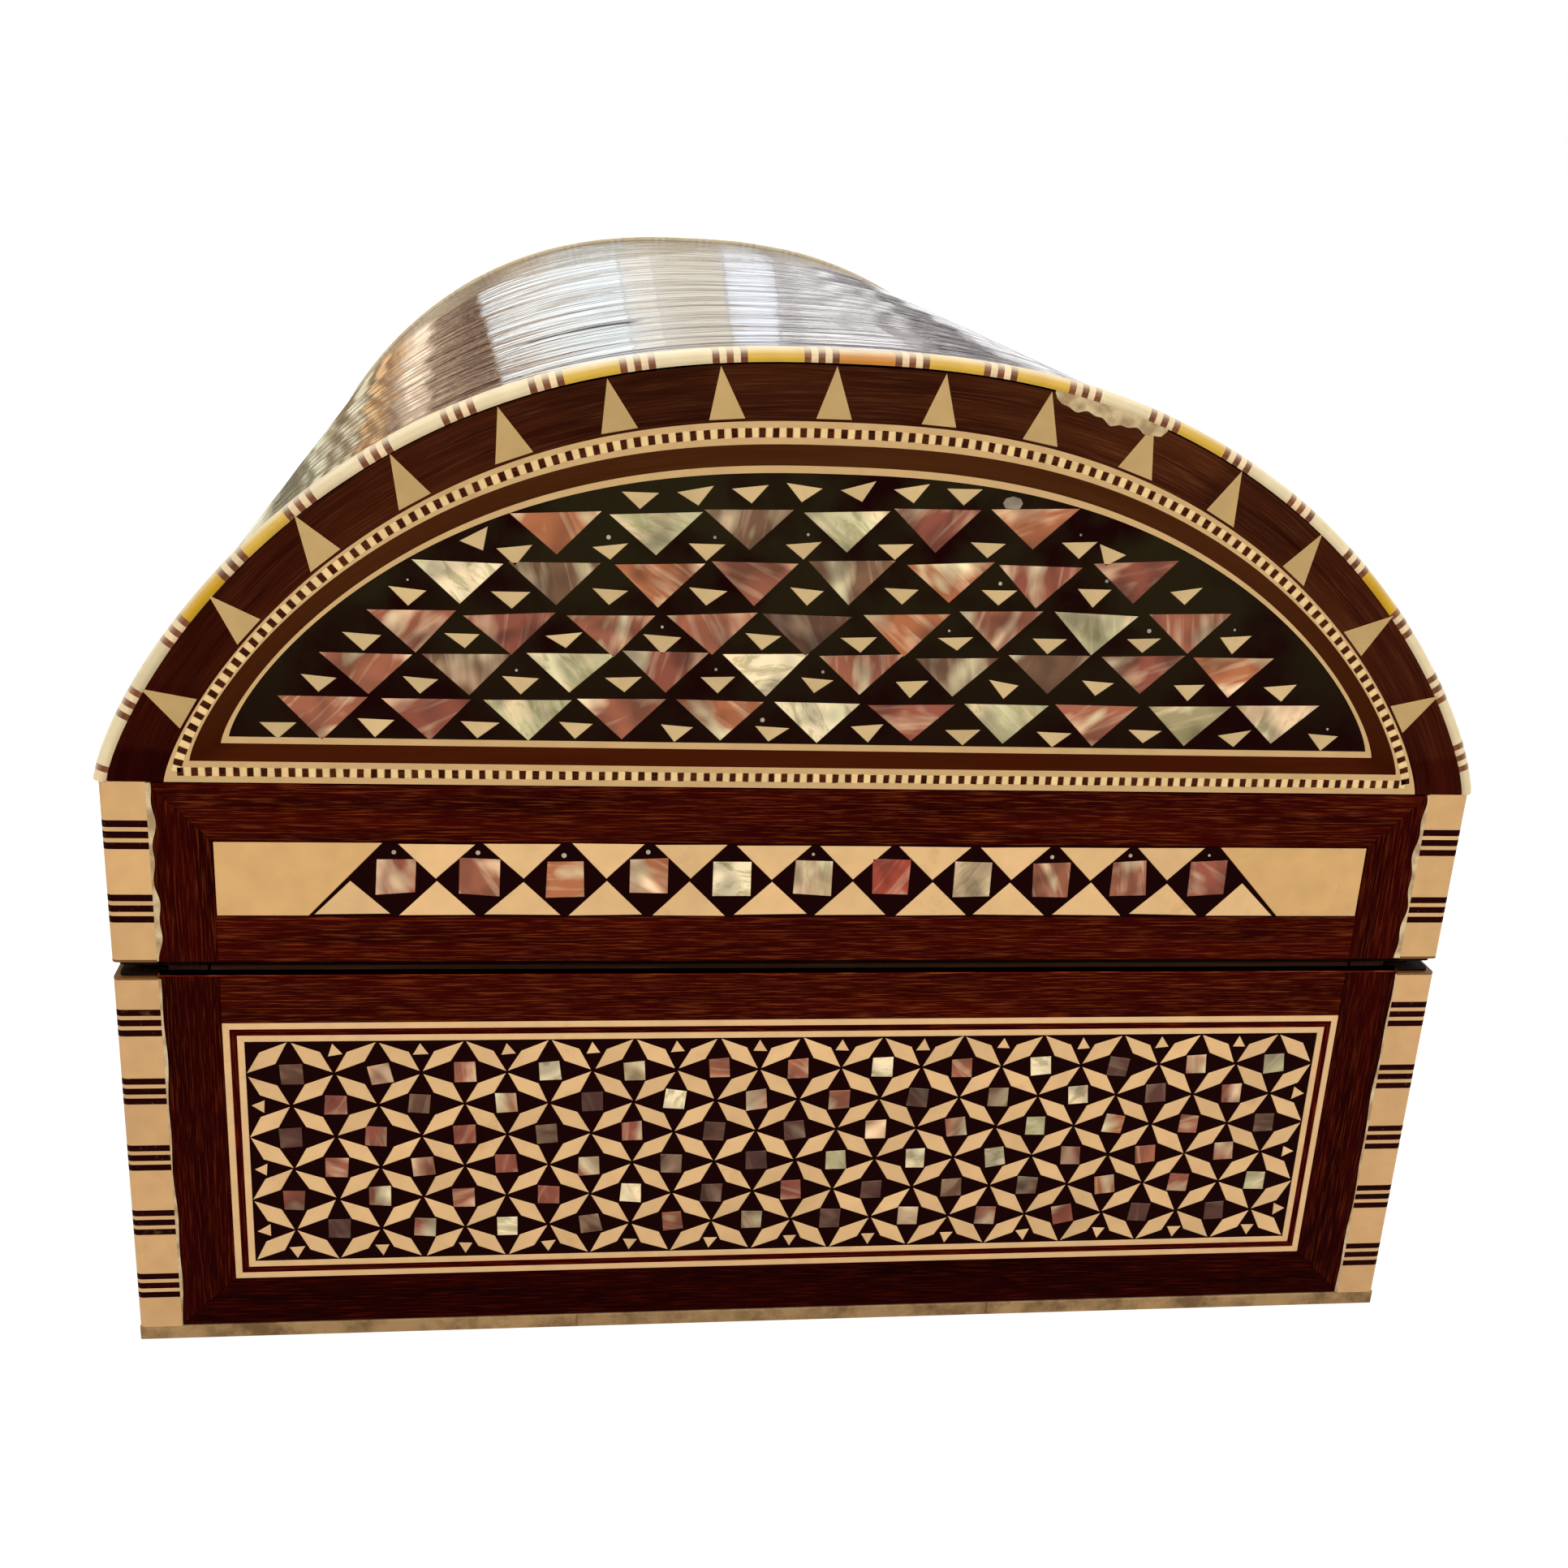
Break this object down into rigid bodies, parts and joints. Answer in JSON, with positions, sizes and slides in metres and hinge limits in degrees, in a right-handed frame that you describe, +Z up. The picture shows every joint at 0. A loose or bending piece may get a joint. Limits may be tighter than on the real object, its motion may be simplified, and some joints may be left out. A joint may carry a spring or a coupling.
{
  "type": "jewellery box",
  "caption": "Barrel-topped wooden jewellery box with mother-of-pearl and bone inlay, velvet lining and a hinged lid.",
  "frame": {"origin": "centre of the underside, in the plane that the box stands on", "axes": "+Z up, +Y along the barrel towards the left end, +X towards the hinged back; the pictured right end faces -Y"},
  "size_m": [0.1309, 0.183, 0.0989],
  "materials": {
    "carcass_wood": "stained",
    "rosewood_veneer": "gloss lacquer",
    "bone": "polished",
    "black_mastic": "gloss lacquer",
    "velvet": "pile",
    "brass": "satin"
  },
  "bodies": {
    "base": {"base_wall_front": "carcass_wood", "base_wall_back": "carcass_wood", "base_wall_right": "carcass_wood", "base_wall_left": "carcass_wood", "bottom_board": "carcass_wood", "edge_strip_front": "bone", "edge_strip_back": "bone", "edge_strip_right": "bone", "edge_strip_left": "bone", "base_corner_front_right": "bone", "base_corner_front_left": "bone", "base_corner_back_right": "bone", "base_corner_back_left": "bone", "base_frame_right": "rosewood_veneer", "base_frame_left": "rosewood_veneer", "base_inlay_right": "black_mastic", "base_inlay_left": "black_mastic", "base_lattice_right": "bone", "base_lattice_left": "bone", "base_panel_front": "rosewood_veneer", "base_panel_back": "rosewood_veneer", "base_lining_front": "velvet", "base_lining_back": "velvet", "base_lining_right": "velvet", "base_lining_left": "velvet", "floor_pad": "velvet", "hinge_base_leaf_right": "brass", "hinge_base_leaf_left": "brass", "hinge_pin_right": "brass", "hinge_pin_left": "brass"},
    "lid": {"hinge_lid_leaf_right": "brass", "hinge_lid_leaf_left": "brass", "lid_rail_front": "carcass_wood", "lid_rail_back": "carcass_wood", "lid_board_right": "carcass_wood", "lid_board_left": "carcass_wood", "dome_board": "rosewood_veneer", "lid_frame_right": "rosewood_veneer", "lid_frame_left": "rosewood_veneer", "lid_inlay_right": "black_mastic", "lid_inlay_left": "black_mastic", "lid_panel_front": "rosewood_veneer", "lid_panel_back": "rosewood_veneer", "lid_corner_front_right": "bone", "lid_corner_front_left": "bone", "lid_corner_back_right": "bone", "lid_corner_back_left": "bone", "rim_banding_right": "bone", "rim_banding_left": "bone", "arch_band_right": "rosewood_veneer", "arch_band_left": "rosewood_veneer", "spiked_stringing_right": "bone", "spiked_stringing_left": "bone", "tympanum_right": "black_mastic", "tympanum_left": "black_mastic", "dome_lining": "velvet", "lid_lining_right": "velvet", "lid_lining_left": "velvet"}
  },
  "joints": [
    {"name": "lid_hinge", "type": "hinge", "parent": "base", "child": "lid", "pos_m": [0.06415, 0, 0.04045], "axis": [0, 1, 0], "range_deg": [0, 100]}
  ]
}
